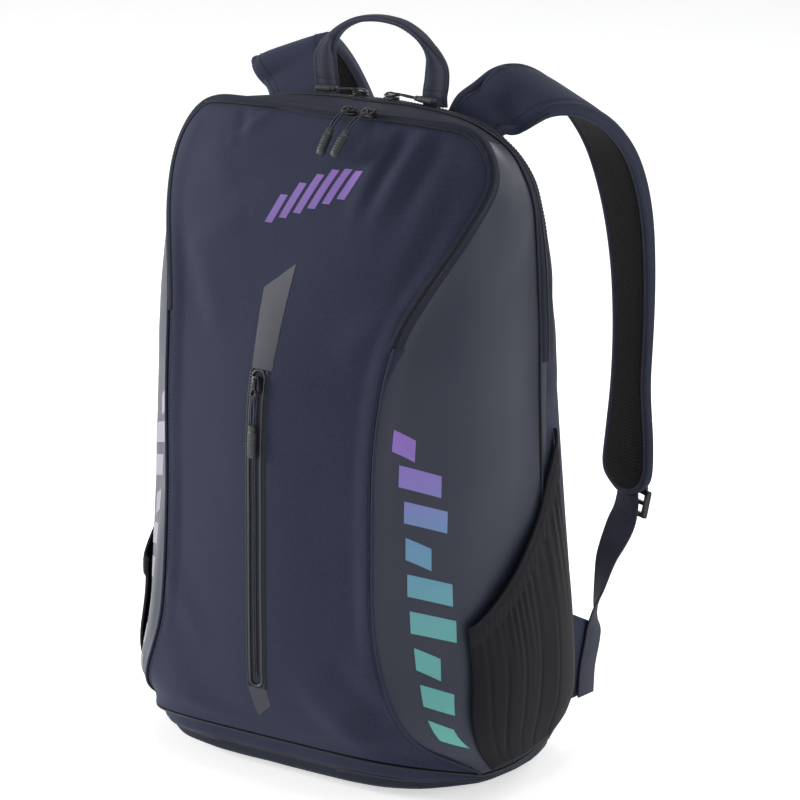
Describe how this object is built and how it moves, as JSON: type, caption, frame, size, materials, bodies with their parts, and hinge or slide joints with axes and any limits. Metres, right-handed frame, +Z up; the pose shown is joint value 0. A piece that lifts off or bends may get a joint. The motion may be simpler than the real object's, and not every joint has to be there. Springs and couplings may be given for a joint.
{
  "type": "racket backpack",
  "caption": "Sports backpack with opening front flap, tilting main mouth, zipped pocket, mesh side pockets, carry handle and padded shoulder straps.",
  "frame": {"origin": "middle of the flat underside, in the plane of the main zip", "axes": "+Z up, front of the bag towards -Y, left and right mirror about X = 0"},
  "size_m": [0.3442, 0.3513, 0.5644],
  "materials": {
    "navy_twill": "woven polyester twill, slight sheen",
    "coated_side": "smooth coated polyester, satin, blue-grey",
    "base_fabric": "dark ribbed polyester",
    "spacer_mesh": "air spacer mesh over foam",
    "stretch_mesh": "gathered stretch mesh",
    "elastic": "woven elastic band",
    "webbing": "ribbed polyester webbing",
    "lining": "plain padded lining",
    "stiff_board": "polyethylene board",
    "zip_tape": "zip tape with coil teeth",
    "piping": "wrapped piping cord",
    "slider_metal": "black painted zinc",
    "pull_rubber": "matte moulded rubber on cord",
    "buckle_plastic": "moulded acetal"
  },
  "bodies": {
    "root": {"front_panel_lower": "navy_twill", "side_panel_lower_left": "coated_side", "side_panel_lower_right": "coated_side", "rear_gusset_left": "navy_twill", "rear_gusset_right": "navy_twill", "rear_gusset_top": "navy_twill", "back_panel": "navy_twill", "back_stiffener": "stiff_board", "back_pad_left": "spacer_mesh", "back_pad_right": "spacer_mesh", "lumbar_pad": "spacer_mesh", "strap_yoke": "navy_twill", "base_tray": "base_fabric", "divider_lower": "lining", "laptop_sleeve": "lining", "side_pocket_left": "stretch_mesh", "side_pocket_right": "stretch_mesh", "pocket_hem_left": "elastic", "pocket_hem_right": "elastic", "front_piping_left": "piping", "front_piping_right": "piping", "main_zip_rear": "zip_tape", "pocket_zip": "zip_tape", "strap_anchor_left": "navy_twill", "strap_anchor_right": "navy_twill"},
    "front_box": {"side_panel_upper_left": "coated_side", "side_panel_upper_right": "coated_side", "top_gusset": "base_fabric", "divider_upper": "lining", "main_zip_front": "zip_tape", "front_zip_body": "zip_tape"},
    "flap": {"front_flap": "navy_twill", "front_zip_flap": "zip_tape"},
    "handle": {"carry_handle": "webbing"},
    "main_slider_left": {"main_slider_left": "slider_metal"},
    "main_pull_left": {"main_pull_left": "pull_rubber"},
    "front_slider_left": {"front_slider_left": "slider_metal"},
    "front_pull_left": {"front_pull_left": "pull_rubber"},
    "strap_left": {"strap_pad_left": "navy_twill", "strap_webbing_left": "webbing"},
    "buckle_left": {"ladder_lock_left": "buckle_plastic"},
    "main_slider_right": {"main_slider_right": "slider_metal"},
    "main_pull_right": {"main_pull_right": "pull_rubber"},
    "front_slider_right": {"front_slider_right": "slider_metal"},
    "front_pull_right": {"front_pull_right": "pull_rubber"},
    "strap_right": {"strap_pad_right": "navy_twill", "strap_webbing_right": "webbing"},
    "buckle_right": {"ladder_lock_right": "buckle_plastic"},
    "pocket_slider": {"pocket_slider": "slider_metal"},
    "pocket_pull": {"pocket_pull": "pull_rubber"}
  },
  "joints": [
    {"name": "mouth_hinge", "type": "hinge", "parent": "root", "child": "front_box", "pos_m": [0, -0.11, 0.335], "axis": [1, 0, 0], "range_deg": [0, 12]},
    {"name": "flap_hinge", "type": "hinge", "parent": "front_box", "child": "flap", "pos_m": [0, -0.153, 0.345], "axis": [1, 0, 0], "range_deg": [0, 75]},
    {"name": "handle_hinge", "type": "hinge", "parent": "root", "child": "handle", "pos_m": [0, 0.012, 0.503], "axis": [1, 0, 0], "range_deg": [-25, 35]},
    {"name": "main_zip_slide_left", "type": "slide", "parent": "front_box", "child": "main_slider_left", "axis": [-1, 0, 0], "range_m": [0, 0.04]},
    {"name": "main_pull_hinge_left", "type": "hinge", "parent": "main_slider_left", "child": "main_pull_left", "pos_m": [-0.0165, -0.0005, 0.5076], "axis": [0, 1, 0], "range_deg": [0, 110]},
    {"name": "front_zip_slide_left", "type": "slide", "parent": "flap", "child": "front_slider_left", "axis": [-1, 0, 0], "range_m": [0, 0.036]},
    {"name": "front_pull_hinge_left", "type": "hinge", "parent": "front_slider_left", "child": "front_pull_left", "pos_m": [0.019, -0.0635, 0.5035], "axis": [-1, 0, 0], "range_deg": [0, 80]},
    {"name": "strap_swing_left", "type": "hinge", "parent": "root", "child": "strap_left", "pos_m": [-0.08, 0.026, 0.492], "axis": [0.1605, -0.1676, 0.9727], "range_deg": [-18, 23]},
    {"name": "buckle_tilt_left", "type": "hinge", "parent": "strap_left", "child": "buckle_left", "pos_m": [-0.134, 0.1835, 0.1755], "axis": [0.917, 0.399, 0], "range_deg": [0, 30]},
    {"name": "main_zip_slide_right", "type": "slide", "parent": "front_box", "child": "main_slider_right", "axis": [1, 0, 0], "range_m": [0, 0.04]},
    {"name": "main_pull_hinge_right", "type": "hinge", "parent": "main_slider_right", "child": "main_pull_right", "pos_m": [0.0255, -0.0005, 0.5076], "axis": [0, -1, 0], "range_deg": [0, 110]},
    {"name": "front_zip_slide_right", "type": "slide", "parent": "flap", "child": "front_slider_right", "axis": [1, 0, 0], "range_m": [0, 0.036]},
    {"name": "front_pull_hinge_right", "type": "hinge", "parent": "front_slider_right", "child": "front_pull_right", "pos_m": [0.036, -0.0635, 0.5035], "axis": [-1, 0, 0], "range_deg": [0, 80]},
    {"name": "strap_swing_right", "type": "hinge", "parent": "root", "child": "strap_right", "pos_m": [0.08, 0.026, 0.492], "axis": [0.1605, 0.1676, -0.9727], "range_deg": [-18, 23]},
    {"name": "buckle_tilt_right", "type": "hinge", "parent": "strap_right", "child": "buckle_right", "pos_m": [0.134, 0.1835, 0.1755], "axis": [0.917, -0.399, 0], "range_deg": [0, 30]},
    {"name": "pocket_zip_slide", "type": "slide", "parent": "root", "child": "pocket_slider", "axis": [0, -0.0149, -0.9999], "range_m": [0, 0.225]},
    {"name": "pocket_pull_hinge", "type": "hinge", "parent": "pocket_slider", "child": "pocket_pull", "pos_m": [0, -0.155, 0.3045], "axis": [-1, 0, 0], "range_deg": [0, 100]}
  ]
}
